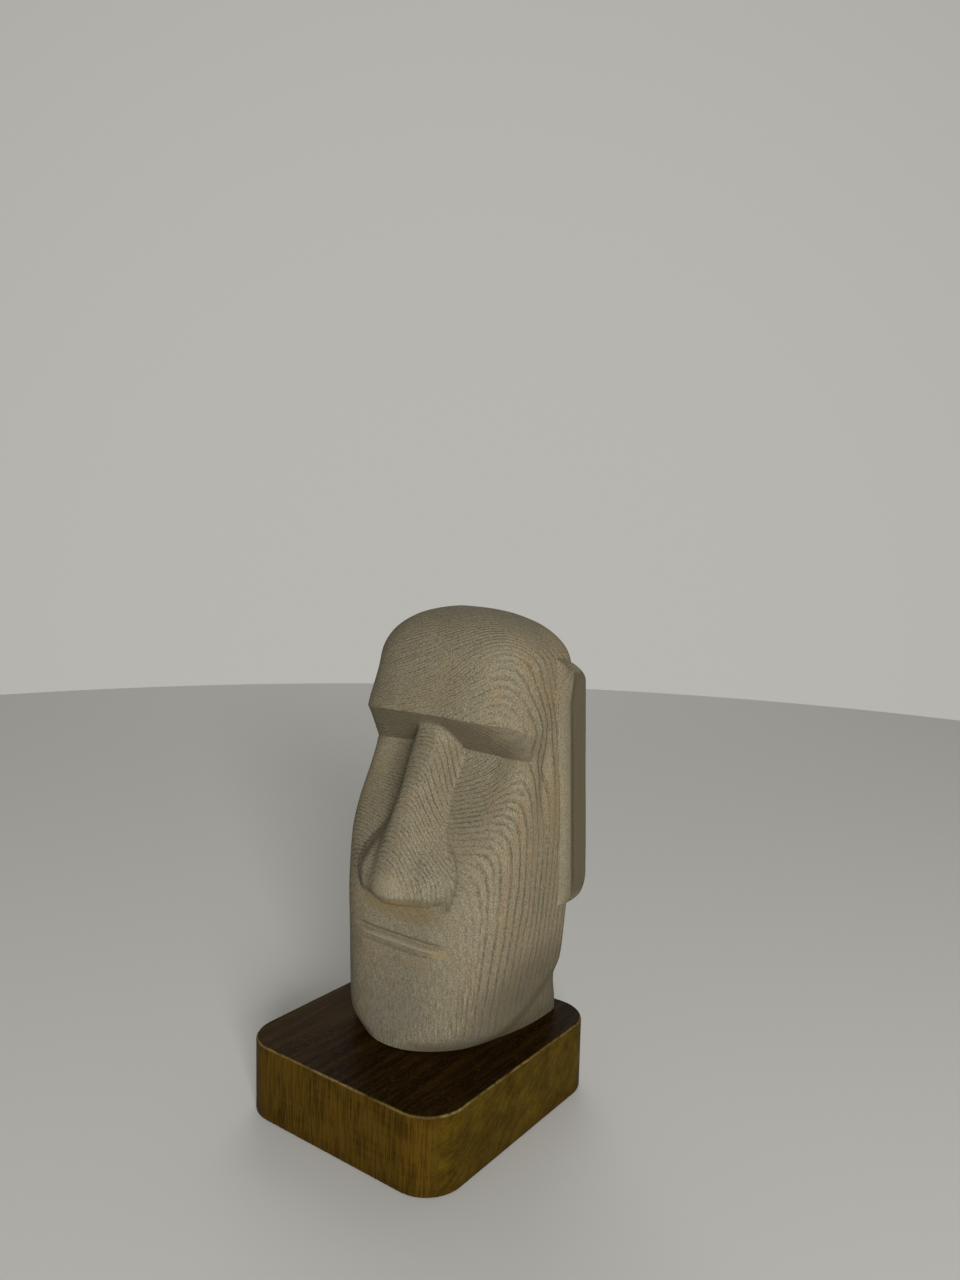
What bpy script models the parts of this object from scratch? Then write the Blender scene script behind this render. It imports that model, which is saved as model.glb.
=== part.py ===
"""Wooden moai statue: a carved head standing on a rounded plinth board.

Metres, +Z up. The face looks along -Y, and the origin is the middle of the plinth's underside.
"""

from math import acos, atan2, cos, exp, log, pi, radians, sin

import bmesh
import bpy

# Driving sizes, in metres
PLINTH_WIDTH = 0.0800
PLINTH_DEPTH = 0.0863
PLINTH_HEIGHT = 0.0242
PLINTH_CORNER_RADIUS = 0.0125
PLINTH_EDGE_ROUNDING = 0.0008
PLINTH_CORNER_STEPS = 10
PLINTH_EDGE_STEPS = 2
SEAT_GAP = 0.0003
HEAD_HEIGHT = 0.1365
HEAD_BACK_MARGIN = 0.0018

# The carving below is given in hundredths of the head's height. Levels go up from the neck's cut, x goes
# out from the plane of symmetry, and y goes back from the line where the head is widest.
TOP_LEVEL = 100.0
HUNDREDTH = HEAD_HEIGHT / TOP_LEVEL

# Stations of the block: level, half width, front, back, squareness in front, squareness behind
STATIONS = (
    (0.0, 22.2, -35.1, 9.0, 2.0, 4.2),
    (3.5, 22.7, -34.9, 9.0, 2.7, 3.3),
    (9.0, 22.8, -34.0, 9.0, 3.1, 2.7),
    (20.0, 23.8, -32.2, 9.0, 3.5, 3.0),
    (35.0, 24.8, -29.8, 9.0, 4.2, 3.2),
    (50.0, 25.2, -26.0, 9.0, 5.0, 3.4),
    (62.0, 25.1, -23.2, 9.0, 5.0, 3.4),
    (75.5, 24.4, -21.4, 9.0, 3.9, 3.4),
    (86.0, 23.5, -20.6, 8.8, 3.4, 3.2),
    (TOP_LEVEL, 22.7, -19.0, 8.4, 3.4, 3.0),
)
CROWN_START = 87.0
CROWN_POWER = 2.07
CROWN_CENTRE = -7.4
BASE_ROUNDING = 0.35

# Brow and eye sockets
BROW_EDGE = 75.7
BROW_ROLL = 2.1
BROW_ROLL_HEIGHT = 7.0
BROW_DROOP = 1.2
BROW_DROOP_LEVELS = (48.0, 66.0, 76.0, 90.0)
BROW_TAIL = 3.2
BROW_TAIL_START = radians(46.0)
BROW_TAIL_END = radians(66.0)
CREASE = 67.2
CHEEK_FOOT = 43.0
SOCKET_DEPTH = 7.0
SOCKET_SIDE_START = 15.0
SOCKET_SIDE_END = 24.0
SOCKET_SIDE_LOSS = 0.6
SOCKET_TURN_START = radians(54.0)
SOCKET_TURN = radians(48.0)
FACE_END = radians(79.0)
FACE_FADE = radians(26.0)

# Nose: level, y of the ridge, half width of its front, how far that front is rounded back, and half width
# of its foot on the face
NOSE = (
    (30.0, -36.4, 7.4, 3.2, 12.6),
    (36.0, -36.9, 7.8, 3.1, 13.4),
    (40.0, -36.6, 7.6, 2.9, 13.4),
    (46.0, -34.0, 5.8, 2.0, 9.6),
    (52.0, -31.2, 4.9, 1.6, 7.4),
    (58.0, -28.6, 4.5, 1.4, 6.0),
    (66.0, -25.1, 4.1, 1.1, 6.1),
    (73.0, -21.1, 4.0, 1.0, 6.3),
    (78.0, -18.3, 4.0, 1.0, 6.4),
)
NOSE_REACH = 18.0
NOSE_CORNER = 0.5
NOSE_BLEND = 1.5
NOSE_BASE = 33.2
NOSE_BASE_ROUNDING = 3.2
WING_LIFT = 1.6
WING_LIFT_END_X = 21.0
WING_LIFT_LEVELS = (26.0, 33.0, 35.0, 46.0)
WING_LIFT_X = 14.0

# Nose wings: place and front of the swell's middle, its curve sideways, its flank, how much it leans inwards and
# falls back above its middle, and how it joins the nose
WING_X = 7.6
WING_LEVEL = 39.0
WING_FRONT = -33.8
WING_CURVE = 0.10
WING_FLANK_X = 9.8
WING_FLANK_SLOPE = 0.75
WING_FLANK_CORNER = 0.6
WING_LEAN = 0.3
WING_HEIGHT = 9.0
WING_FALL = 5.5
WING_UNDERSIDE = 0.6
WING_BLEND = 2.0

# Valley between the nose's tip and its wing: place, lean outwards going up, half width, depth, middle and half height
VALLEY_X = 5.6
VALLEY_LEAN = 0.22
VALLEY_REACH = 2.0
VALLEY_DEPTH = 0.4
VALLEY_LEVEL = 42.0
VALLEY_HEIGHT = 5.0

MOUTH_LEVEL = 24.0
MOUTH_HALF_WIDTH = 14.6
MOUTH_CORNER = 5.0
LIPS = ((0.0, 0.6, 0.6), (-2.2, 1.6, -0.5), (2.0, 1.8, -0.3))

# Neck, set in under the jaw line
JAW_START = -21.4
JAW_SLOPE = 0.5
JAW_BLEND = 3.0
NECK_INSET = 1.2
NECK_START_X = 10.0
NECK_FULL_X = 16.0

# Ears
EAR_FRONT = -3.7
EAR_LEAN = 0.068
EAR_WIDTH = 5.5
EAR_OUT = 29.0
EAR_TOP = 89.7
EAR_TOP_ROUND = 4.6
EAR_TOP_POWER = 0.77
EAR_FOOT = 29.3
EAR_FOOT_ROUND = 9.0
EAR_SPREAD = 1.4
EAR_FLUTE = 0.4

# Rows of the skin: row number and level; columns from the face's centre line: column number and degrees
ROW_STOPS = (
    (0, 0.0), (1, 0.6), (9, 22.0), (14, 26.0), (17, NOSE_BASE - 0.4), (22, 36.0), (31, 62.0), (33, CREASE),
    (36, BROW_EDGE), (41, CROWN_START), (50, TOP_LEVEL),
)
FACE_STOPS = ((0, 0.0), (10, 24.0), (18, 62.0))
EAR_FRONT_COLUMN = 24
EAR_CORNER_COLUMN = 27
EAR_REAR_COLUMN = 29
EAR_END_COLUMN = 31
HALF_COLUMN_COUNT = 40
ROW_COUNT = ROW_STOPS[-1][0] + 1
SMOOTH_ANGLE = radians(40.0)


def clamp(value, low=0.0, high=1.0):
    """Keep a value between two limits."""
    return max(low, min(high, value))


def ease(value, start, end):
    """Smooth step from 0 at start to 1 at end."""
    share = clamp((value - start) / (end - start))
    return share * share * (3.0 - 2.0 * share)


def straight(stops, place):
    """Straight runs through pairs of place and value."""
    for (place_a, value_a), (place_b, value_b) in zip(stops, stops[1:]):
        if place <= place_b:
            break
    return value_a + (value_b - value_a) * (place - place_a) / (place_b - place_a)


def through(stations, level, item=1):
    """Smooth curve through one item of the stations."""
    last = len(stations) - 1
    level = clamp(level, stations[0][0], stations[last][0])
    k = 0
    while k < last - 1 and stations[k + 1][0] < level:
        k += 1

    def slope(i):
        below, above = stations[max(i - 1, 0)], stations[min(i + 1, last)]
        return (above[item] - below[item]) / (above[0] - below[0])

    step = stations[k + 1][0] - stations[k][0]
    share = (level - stations[k][0]) / step
    square, cube = share ** 2, share ** 3
    return (stations[k][item] * (2.0 * cube - 3.0 * square + 1.0)
            + slope(k) * step * (cube - 2.0 * square + share)
            + stations[k + 1][item] * (3.0 * square - 2.0 * cube)
            + slope(k + 1) * step * (cube - square))


def block_point(level, angle):
    """Point of the plain block at a level, seen at an angle from the face's centre line."""
    half = through(STATIONS, level, 1)
    if angle < pi / 2:
        depth, square = -through(STATIONS, level, 2), through(STATIONS, level, 4)
    else:
        depth, square = through(STATIONS, level, 3), through(STATIONS, level, 5)
    reach = (abs(sin(angle) / half) ** square + abs(cos(angle) / depth) ** square) ** (-1.0 / square)
    x, y = reach * sin(angle), -reach * cos(angle)
    share = clamp((level - CROWN_START) / (TOP_LEVEL - CROWN_START))
    scale = (1.0 - share ** CROWN_POWER) ** (1.0 / CROWN_POWER)
    return x * scale, CROWN_CENTRE + (y - CROWN_CENTRE) * scale


def brow_and_socket(level, x):
    """How far the brow's roll stands before the block, or the eye socket and cheek lie behind it."""
    depth = SOCKET_DEPTH * (1.0 - SOCKET_SIDE_LOSS * ease(x, SOCKET_SIDE_START, SOCKET_SIDE_END))
    if level >= BROW_EDGE:
        return -BROW_ROLL * exp(-((level - BROW_EDGE) / BROW_ROLL_HEIGHT) ** 2)
    if level >= CREASE:
        return -BROW_ROLL + (depth + BROW_ROLL) * (BROW_EDGE - level) / (BROW_EDGE - CREASE)
    return depth * ease(level, CHEEK_FOOT, CREASE)


def face_front(level, x):
    """The face's y at a level and a distance from the middle, before the nose is put on it."""
    half, depth = through(STATIONS, level, 1), through(STATIONS, level, 2)
    square = through(STATIONS, level, 4)
    return depth * (1.0 - (x / half) ** square) ** (1.0 / square) + brow_and_socket(level, x)


def nose_surface(level, x):
    """The nose's own surface, as a y: a rounded front, a flank and a wing on each side."""
    ridge, half = through(NOSE, level, 1), through(NOSE, level, 2)
    rounding, foot = through(NOSE, level, 3), through(NOSE, level, 4)
    slope = (face_front(min(level, CREASE), foot) - ridge - rounding) / (foot - half)
    corner = NOSE_CORNER * rounding
    flank = corner * log(1.0 + exp((x - half) / corner))
    bridge = ridge + rounding * (min(x, half) / half) ** 2 + slope * flank
    up = max(level - WING_LEVEL, 0.0)
    side = x + WING_LEAN * up
    wing_flank = WING_FLANK_CORNER * log(1.0 + exp((side - WING_FLANK_X) / WING_FLANK_CORNER))
    wing = (WING_FRONT + WING_CURVE * (side - WING_X) ** 2 + WING_FLANK_SLOPE * wing_flank
            + WING_FALL * (up / WING_HEIGHT) ** 2)
    cut = clamp((NOSE_BASE + NOSE_BASE_ROUNDING - level) / NOSE_BASE_ROUNDING)
    underside = NOSE_BASE_ROUNDING * (1.0 - (1.0 - cut ** 2) ** 0.5)
    aside, above = x - VALLEY_X - VALLEY_LEAN * (level - VALLEY_LEVEL), level - VALLEY_LEVEL
    valley = VALLEY_DEPTH * exp(-(aside / VALLEY_REACH) ** 2 - (above / VALLEY_HEIGHT) ** 2)
    return soft_front(bridge + underside, wing + WING_UNDERSIDE * underside, WING_BLEND) + valley


def soft_front(first, second, blend):
    """The one of two surfaces that lies in front, with a rounded join."""
    share = clamp(0.5 + 0.5 * (second - first) / blend)
    return second + (first - second) * share - blend * share * (1.0 - share)


def wing_lift(level, x):
    """How far the nose's lower edge, and the rows by it, rise towards the wings."""
    low, base, top, high = WING_LIFT_LEVELS
    share = ease(level, low, base) * (1.0 - ease(level, top, high)) * (1.0 - ease(x, WING_LIFT_X, WING_LIFT_END_X))
    return WING_LIFT * share * (x / WING_LIFT_X) ** 2


def brow_droop(level, x, angle):
    """How far the brow and the rows by it sink towards the sides, most of all at the brow's tail."""
    low, crease, edge, high = BROW_DROOP_LEVELS
    share = ease(level, low, crease) * (1.0 - ease(level, edge, high))
    tail = BROW_TAIL * ease(angle, BROW_TAIL_START, BROW_TAIL_END)
    return share * (BROW_DROOP * min(x / SOCKET_SIDE_END, 1.0) ** 2 + tail)


def lip_relief(level, x):
    """The mouth's slit, less the swell of the two lips."""
    inside = 1.0 - ease(x, MOUTH_HALF_WIDTH - MOUTH_CORNER, MOUTH_HALF_WIDTH)
    return inside * sum(depth * exp(-((level - MOUTH_LEVEL - height) / reach) ** 2)
                        for height, reach, depth in LIPS)


def ear_stand(level):
    """Share of its full stand that the ear has at a level: rounded at its foot, sloping at its top."""
    if level < EAR_FOOT + EAR_FOOT_ROUND:
        gone = clamp((EAR_FOOT + EAR_FOOT_ROUND - level) / EAR_FOOT_ROUND)
        return (1.0 - gone ** 2) ** 0.5
    gone = clamp((level - EAR_TOP + EAR_TOP_ROUND) / EAR_TOP_ROUND)
    return (1.0 - gone ** 2) ** EAR_TOP_POWER


def column_place(column, level):
    """Angle of a column at a level, and the share of the ear's stand that it takes."""
    front = EAR_FRONT + EAR_LEAN * (CREASE - level)
    rear = front + EAR_WIDTH
    half = through(STATIONS, level, 1)
    spread = EAR_SPREAD * (1.0 - ear_stand(level))

    def angle_of(y):
        return pi / 2 + atan2(y, half)

    if column <= FACE_STOPS[-1][0]:
        return radians(straight(FACE_STOPS, column)), 0.0
    if column <= EAR_FRONT_COLUMN:
        start_column, start = FACE_STOPS[-1]
        share = (column - start_column) / (EAR_FRONT_COLUMN - start_column)
        return radians(start) + share * (angle_of(front - spread) - radians(start)), 0.0
    if column <= EAR_CORNER_COLUMN:
        share = (column - EAR_FRONT_COLUMN) / (EAR_CORNER_COLUMN - EAR_FRONT_COLUMN)
        flute = EAR_FLUTE * sin(pi * share) * ear_stand(level)
        return angle_of(front - spread * (1.0 - share) + flute), share
    if column <= EAR_REAR_COLUMN:
        share = (column - EAR_CORNER_COLUMN) / (EAR_REAR_COLUMN - EAR_CORNER_COLUMN)
        return angle_of(front + share * (rear - front)), 1.0
    if column <= EAR_END_COLUMN:
        share = (column - EAR_REAR_COLUMN) / (EAR_END_COLUMN - EAR_REAR_COLUMN)
        return angle_of(rear + spread * share), 1.0 - share
    share = (column - EAR_END_COLUMN) / (HALF_COLUMN_COUNT - EAR_END_COLUMN)
    return angle_of(rear + spread) + share * (pi - angle_of(rear + spread)), 0.0


def head_point(column, level):
    """Point of the carved head, on its left half, for a column and a level."""
    angle, out = column_place(column, level)
    x, y = block_point(level, angle)
    x += out * ear_stand(level) * max(EAR_OUT - x, 0.0)
    front = 1.0 - ease(angle, FACE_END - FACE_FADE, FACE_END)
    socket = brow_and_socket(level, x) * front
    turn = SOCKET_TURN * ease(angle, SOCKET_TURN_START, FACE_END)
    x, y = x - socket * sin(turn), y + socket * cos(turn)
    if x < NOSE_REACH and NOSE_BASE < level < NOSE[-1][0] and angle < pi / 2:
        y = soft_front(y, nose_surface(level, x), NOSE_BLEND)
    y += lip_relief(level, x) * front
    z = level + wing_lift(level, x) - brow_droop(level, x, angle) * front
    under_jaw = ease(JAW_SLOPE * (y - JAW_START) - z, -JAW_BLEND, JAW_BLEND)
    x -= NECK_INSET * under_jaw * ease(x, NECK_START_X, NECK_FULL_X)
    return x, y, z


def row_level(row):
    """Level of a row of the skin; the rows of the crown close up as it turns over."""
    if row <= ROW_STOPS[-2][0]:
        return straight(ROW_STOPS, row)
    share = (row - ROW_STOPS[-2][0]) / (ROW_STOPS[-1][0] - ROW_STOPS[-2][0])
    return CROWN_START + (TOP_LEVEL - CROWN_START) * sin(share * pi / 2)


def wood(name, colour, roughness):
    """Plain material with the colour of one wood finish."""
    material = bpy.data.materials.new(name)
    material.use_nodes = True
    shader = material.node_tree.nodes["Principled BSDF"]
    shader.inputs["Base Color"].default_value = (*colour, 1.0)
    shader.inputs["Roughness"].default_value = roughness
    shader.inputs["Metallic"].default_value = 0.0
    material.diffuse_color = (*colour, 1.0)
    return material


def add_object(name, mesh_data, material, collection):
    """Turn a bmesh into a named, smooth-shaded object."""
    mesh = bpy.data.meshes.new(name)
    mesh_data.to_mesh(mesh)
    mesh_data.free()
    mesh.shade_smooth()
    mesh.set_sharp_from_angle(angle=SMOOTH_ANGLE)
    mesh.materials.append(material)
    piece = bpy.data.objects.new(name, mesh)
    collection.objects.link(piece)
    return piece


def make_head(collection):
    """Carve the head: a sphere's skin, each vertex moved to its place on the head."""
    bm = bmesh.new()
    bmesh.ops.create_uvsphere(bm, u_segments=2 * HALF_COLUMN_COUNT, v_segments=ROW_COUNT, radius=1.0)
    back = max(station[3] for station in STATIONS)
    widest_line = PLINTH_DEPTH / 2 - HEAD_BACK_MARGIN - back * HUNDREDTH
    for vertex in bm.verts:
        row = ROW_COUNT - 1 - round(acos(clamp(vertex.co.z, -1.0, 1.0)) / pi * ROW_COUNT)
        column = abs(atan2(vertex.co.x, -vertex.co.y)) / pi * HALF_COLUMN_COUNT
        side = 1.0 if vertex.co.x > 0.0 else -1.0
        x, y, z = head_point(column, row_level(max(row, 0)))
        if row == 0:
            shrink = 1.0 - BASE_ROUNDING / STATIONS[0][1]
            x, y = x * shrink, y * shrink
        if row < 0:
            x, y = 0.0, 0.0
        vertex.co = (side * x * HUNDREDTH, y * HUNDREDTH, z * HUNDREDTH)
    head = add_object("moai_head", bm, wood("stained_wood", (0.170, 0.150, 0.110), 0.8), collection)
    head.location = (0.0, widest_line, PLINTH_HEIGHT + SEAT_GAP)
    return head


def make_plinth(collection):
    """Plane the plinth board: a block with rounded corners and softened rims."""
    bm = bmesh.new()
    bmesh.ops.create_cube(bm, size=1.0)
    bmesh.ops.scale(bm, vec=(PLINTH_WIDTH, PLINTH_DEPTH, PLINTH_HEIGHT), verts=bm.verts)
    uprights = [edge for edge in bm.edges if abs(edge.verts[0].co.z - edge.verts[1].co.z) > PLINTH_HEIGHT / 2]
    bmesh.ops.bevel(bm, geom=uprights, offset=PLINTH_CORNER_RADIUS, offset_type="OFFSET",
                    segments=PLINTH_CORNER_STEPS, profile=0.5, affect="EDGES", material=-1)
    rims = [edge for edge in bm.edges
            if abs(edge.verts[0].co.z - edge.verts[1].co.z) < PLINTH_HEIGHT / 2
            and any(abs(face.normal.z) > 0.9 for face in edge.link_faces)]
    bmesh.ops.bevel(bm, geom=rims, offset=PLINTH_EDGE_ROUNDING, offset_type="OFFSET",
                    segments=PLINTH_EDGE_STEPS, profile=0.5, affect="EDGES", material=-1)
    plinth = add_object("plinth", bm, wood("varnished_wood", (0.045, 0.026, 0.010), 0.35), collection)
    plinth.location = (0.0, 0.0, PLINTH_HEIGHT / 2)
    return plinth


def main():
    """Clear the scene and build the two pieces."""
    for leftover in list(bpy.data.objects):
        bpy.data.objects.remove(leftover, do_unlink=True)
    collection = bpy.data.collections.new("wooden_moai_statue")
    bpy.context.scene.collection.children.link(collection)
    make_plinth(collection)
    make_head(collection)


main()
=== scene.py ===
"""Wooden moai statue: the carved head, the varnished plinth, their finishes and a plain stage.

Metres, +Z up. The face looks along -Y, and the origin is the middle of the plinth's underside.
"""

from math import acos, atan2, cos, exp, log, pi, radians, sin

import bmesh
import bpy
from mathutils import Matrix, Vector, noise


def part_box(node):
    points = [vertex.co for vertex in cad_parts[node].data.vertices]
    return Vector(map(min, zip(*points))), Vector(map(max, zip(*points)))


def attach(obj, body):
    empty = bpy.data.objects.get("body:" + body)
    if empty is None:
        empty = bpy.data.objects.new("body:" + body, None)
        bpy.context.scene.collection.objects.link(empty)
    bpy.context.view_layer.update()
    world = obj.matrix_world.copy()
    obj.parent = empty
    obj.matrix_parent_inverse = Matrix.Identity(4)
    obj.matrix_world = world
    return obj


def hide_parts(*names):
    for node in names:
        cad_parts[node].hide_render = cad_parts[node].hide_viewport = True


bl_info = {
    "name": "Wooden moai statue",
    "version": (1, 0, 0),
    "blender": (4, 5, 0),
    "location": "View3D > Sidebar > Moai",
    "description": "Carves a wooden moai head, planes its plinth and sets a plain stage",
    "category": "Add Mesh",
}

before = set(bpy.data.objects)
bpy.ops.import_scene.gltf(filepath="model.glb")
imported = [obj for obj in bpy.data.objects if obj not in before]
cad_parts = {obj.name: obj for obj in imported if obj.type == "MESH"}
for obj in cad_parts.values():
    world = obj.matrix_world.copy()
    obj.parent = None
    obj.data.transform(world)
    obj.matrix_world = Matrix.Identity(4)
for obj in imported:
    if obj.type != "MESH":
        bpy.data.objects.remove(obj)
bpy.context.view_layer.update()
HEAD_LOW, HEAD_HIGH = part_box("moai_head")
PLINTH_LOW, PLINTH_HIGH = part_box("plinth")

# The carving below is given in hundredths of the head's height. Levels go up from the neck's cut, x goes
# out from the plane of symmetry, and y goes back from the line where the head is widest.
HEAD_HEIGHT = HEAD_HIGH.z - HEAD_LOW.z
TOP_LEVEL = 100.0
HUNDREDTH = HEAD_HEIGHT / TOP_LEVEL

# Stations of the block: level, half width, front, back, squareness in front, squareness behind
STATIONS = (
    (0.0, 22.2, -35.1, 9.0, 2.0, 4.2),
    (3.5, 22.7, -34.9, 9.0, 2.7, 3.3),
    (9.0, 22.8, -34.0, 9.0, 3.1, 2.7),
    (20.0, 23.8, -32.2, 9.0, 3.5, 3.0),
    (35.0, 24.8, -29.8, 9.0, 4.2, 3.2),
    (50.0, 25.2, -26.0, 9.0, 5.0, 3.4),
    (62.0, 25.1, -23.2, 9.0, 5.0, 3.4),
    (75.5, 24.4, -21.4, 9.0, 3.9, 3.4),
    (86.0, 23.5, -20.6, 8.8, 3.4, 3.2),
    (TOP_LEVEL, 22.7, -19.0, 8.4, 3.4, 3.0),
)
CROWN_START = 87.0
CROWN_POWER = 2.07
CROWN_CENTRE = -7.4
BASE_ROUNDING = 0.35

# Brow and eye sockets
BROW_EDGE = 75.7
BROW_ROLL = 2.1
BROW_ROLL_HEIGHT = 7.0
BROW_DROOP = 1.2
BROW_DROOP_X = 24.0
BROW_DROOP_LEVELS = (48.0, 66.0, 76.0, 90.0)
BROW_TAIL = 3.2
BROW_TAIL_START = radians(50.0)
BROW_TAIL_END = radians(72.0)
CREASE = 67.2
CHEEK_FOOT = 43.0
SOCKET_DEPTH = 7.0
SOCKET_SIDE_START = 14.0
SOCKET_SIDE_END = 25.0
SOCKET_SIDE_LOSS = 0.42
SOCKET_TURN_START = radians(54.0)
SOCKET_TURN = radians(48.0)
FACE_END = radians(79.0)
FACE_FADE = radians(20.5)

# Nose: level, y of the ridge, half width of its front, how far that front is rounded back, and half width
# of its foot on the face. Then how softly it joins the face, and how much crisper low down, on the left side
# and on the right side, which is merged more softly.
NOSE = (
    (30.0, -36.4, 7.4, 3.2, 12.6),
    (36.0, -36.9, 7.8, 3.1, 13.4),
    (40.0, -36.6, 7.6, 2.9, 13.4),
    (46.0, -34.0, 5.8, 2.0, 9.6),
    (52.0, -31.2, 4.9, 1.6, 7.4),
    (58.0, -28.6, 4.5, 1.4, 6.0),
    (66.0, -25.1, 4.1, 1.1, 6.1),
    (73.0, -21.1, 4.0, 1.0, 6.3),
    (78.0, -18.3, 4.0, 1.0, 6.4),
)
NOSE_REACH = 18.0
NOSE_CORNER = 0.5
NOSE_BLEND = 1.5
NOSE_CRISP = 0.8
NOSE_CRISP_FAR = -2.3
NOSE_CRISP_LEVELS = (45.0, 56.0)
NOSE_BASE = 33.2
NOSE_BASE_ROUNDING = 3.2
WING_LIFT = 1.6
WING_LIFT_END_X = 21.0
WING_LIFT_LEVELS = (26.0, 33.0, 35.0, 46.0)
WING_LIFT_X = 14.0

# Nose wings: place and front of the swell's middle, its curve sideways, its flank, how much it leans inwards
# and falls back above its middle, and how softly it joins the nose
WING_X = 7.6
WING_LEVEL = 39.0
WING_FRONT = -33.8
WING_CURVE = 0.10
WING_FLANK_X = 9.8
WING_FLANK_SLOPE = 0.75
WING_FLANK_CORNER = 0.6
WING_LEAN = 0.3
WING_HEIGHT = 9.0
WING_FALL = 5.5
WING_UNDERSIDE = 0.6
WING_BLEND = 2.0

# Valley between the nose's tip and each wing: place, lean outwards going up, half width, depth, middle and
# half height
VALLEY_X = 5.6
VALLEY_LEAN = 0.22
VALLEY_REACH = 2.0
VALLEY_DEPTH = 0.4
VALLEY_LEVEL = 42.0
VALLEY_HEIGHT = 5.0

MOUTH_LEVEL = 24.0
MOUTH_HALF_WIDTH = 14.6
MOUTH_CORNER = 5.0
LIPS = ((0.9, 0.5, 0.45), (-0.3, 0.55, -0.40), (-3.0, 2.2, -0.55), (2.8, 1.4, -0.25))

# Neck, set in under the jaw line
JAW_START = -21.4
JAW_SLOPE = 0.5
JAW_BLEND = 3.0
NECK_INSET = 1.2
NECK_START_X = 10.0
NECK_FULL_X = 16.0

# Ears: where they stand, their outline and flute, and how far the upper front corner is rounded back
EAR_FRONT = -3.7
EAR_LEAN = 0.068
EAR_WIDTH = 5.5
EAR_OUT = 29.0
EAR_TOP = 88.6
EAR_TOP_ROUND = 4.6
EAR_TOP_POWER = 0.77
EAR_FOOT = 29.3
EAR_FOOT_ROUND = 9.0
EAR_SPREAD = 0.4
EAR_FLUTE = 0.4
EAR_TOP_BACK = 2.2
EAR_TOP_BACK_START = 78.0

# Rows of the skin: row number and level; columns from the face's centre line: column number and degrees
ROW_STOPS = (
    (0, 0.0), (1, 0.6), (9, 22.0), (14, 26.0), (17, NOSE_BASE - 0.4), (22, 36.0), (31, 62.0), (33, CREASE),
    (36, BROW_EDGE), (41, CROWN_START), (50, TOP_LEVEL),
)
FACE_STOPS = ((0, 0.0), (10, 24.0), (18, 62.0))
EAR_FRONT_COLUMN = 24
EAR_CORNER_COLUMN = 27
EAR_REAR_COLUMN = 29
EAR_END_COLUMN = 31
HALF_COLUMN_COUNT = 40
ROW_COUNT = ROW_STOPS[-1][0] + 1

# Skin of the head: steps of the mesh in one column and in one row of the stops above
COLUMN_SPLIT = 4
ROW_SPLIT = 5
SMOOTH_ANGLE = radians(50.0)

# Tool marks on the head and wear along the plinth's rim: how long they are in metres, and the level above the
# head's foot at which the tool marks reach their full depth
BROAD_MARK = 0.009
FINE_MARK = 0.0035
FINE_MARK_SHIFT = (7.0, 3.0, 5.0)
MARKS_START_LEVEL = 3.0
RIM_DENT = 0.0032
RIM_CHIP = 0.0012

# Camera, solved from the plinth's corners
CAMERA_PLACE = (0.199232, -0.243398, 0.185048)
CAMERA_FORWARD = (-0.59058, 0.79995, -0.10631)
CAMERA_RIGHT = (0.80274, 0.59585, 0.0236)
CAMERA_LENS = 28.125

# Growth rings: gently bent sheets, in millimetres. The normal says how they are stacked in the middle of the
# head, and the bends how much they turn with x, y and z. Then how the rings wave, fray, break and fade, how
# far they are doubled in front and coarsened at the sides, and between which shares they rise to a ridge.
RING_MIDDLE_HEIGHT = 80.0
RING_NORMAL = (-0.047, -0.990, -0.131)
RING_BEND_X = 0.0119
RING_BEND_XY = 0.0100
RING_BEND_XZ = 0.0043
RING_BEND_Z = -0.0012
RING_WAVE = 0.9
RING_WAVE_SIZES = (9.0, 9.0, 16.0)
RING_FRAY = 0.40
RING_FRAY_SIZES = (1.4, 1.4, 2.0)
RING_BREAK_SIZES = (1.3, 1.3, 1.6)
RING_PATCH_SIZES = (14.0, 14.0, 20.0)
RING_DOUBLING = 0.75
RING_COARSENING = 0.65
RIDGE_SHARES = (0.08, 0.62)

# Blots of the head's stain, in millimetres
FIBRE_SIZES = (0.50, 0.50, 5.0)
SPECKLE_SIZES = (0.40, 0.40, 0.48)
PORE_SIZES = (0.5, 0.5, 1.6)
WARM_SIZES = (5.0, 5.0, 60.0)
TAN_SIZES = (16.0, 16.0, 16.0)
COOL_SIZES = (13.0, 13.0, 15.0)

# Where the masks of the head's stain and of its painted shade begin and end: by the share of the normal that
# faces forward, aside or down (the painted shade on faces that look down), by millimetres up from the
# plinth's underside, and by millimetres out from the middle
FLUSH_FACING = (0.80, 0.95)
FLUSH_HEIGHTS = (60.0, 72.0)
ASIDE_FACING = (0.70, 0.95)
UNDER_FACING = (0.03, 0.38)
SHOWING_HEIGHTS = (60.0, 80.0)
SHOWING_OUT = (18.0, 26.0)
SIDE_OUT = (16.0, 30.0)
LOW_HEIGHTS = (36.0, 60.0)
FOOT_HEIGHTS = (36.0, 70.0)

# Pale strip down the front of each ear, and the ear's dark side
STRIP_FACING = (0.45, 0.85)
STRIP_OUT = (30.5, 32.5)
STRIP_LEAN = 0.045
STRIP_LEAN_HEIGHT = 70.0
STRIP_TOP_HEIGHTS = (139.0, 143.0)
STRIP_MIDDLE_OUT = 35.4
STRIP_BORDERS = (1.8, 3.0)
EAR_SIDE_OUT = (37.6, 39.0)

# Edge of a nose wing, where painted shade and a painted crease shadow lie: an ellipse's middle and reach, out
# and up, and where that edge shows
WING_EDGE_MIDDLE = (9.5, 77.5)
WING_EDGE_REACH = (9.9, 12.3)
WING_EDGE_OUT = (12.0, 16.0)
WING_EDGE_FOOT = (68.0, 71.0)
WING_EDGE_FRONT = (0.0, 3.0)
WING_SHADE_TOP = (74.0, 82.0)
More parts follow.
